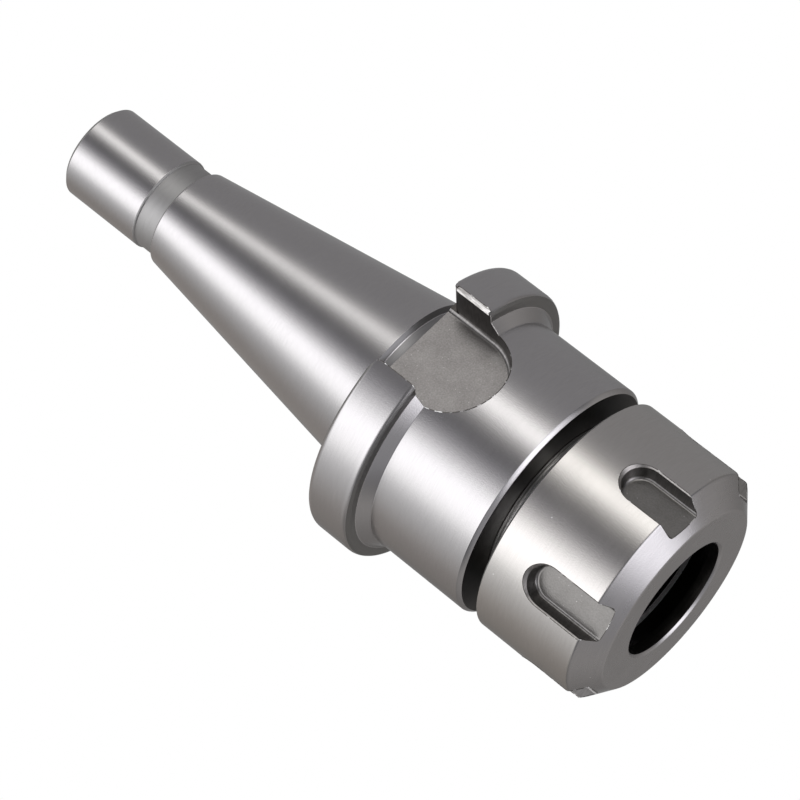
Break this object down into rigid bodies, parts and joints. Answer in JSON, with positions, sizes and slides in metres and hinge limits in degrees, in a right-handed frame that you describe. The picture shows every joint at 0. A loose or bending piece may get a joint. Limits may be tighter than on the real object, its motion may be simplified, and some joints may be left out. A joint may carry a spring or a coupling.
{
  "type": "collet chuck holder",
  "caption": "Steep-taper shank with a slotted drive flange and a body whose threaded nose carries a screw-on clamping nut with spanner slots over a tapered collet seat.",
  "frame": {"origin": "centre of the clamping nut's flat front face, on which the chuck stands", "axes": "+Z along the axis from the nut to the shank end, Y through the middle of the two drive slots"},
  "size_m": [0.05, 0.0474, 0.1228],
  "materials": {
    "ground_steel": "ground and polished hardened steel",
    "nut_steel": "fine-turned hardened steel"
  },
  "bodies": {
    "chuck": {"holder": "ground_steel"},
    "nut": {"clamping_nut": "nut_steel"}
  },
  "joints": [
    {"name": "nut_turn", "type": "hinge", "parent": "chuck", "child": "nut", "pos_m": [0, 0, 0.0109], "axis": [0, 0, -1], "range_deg": [-630, 1890]}
  ]
}
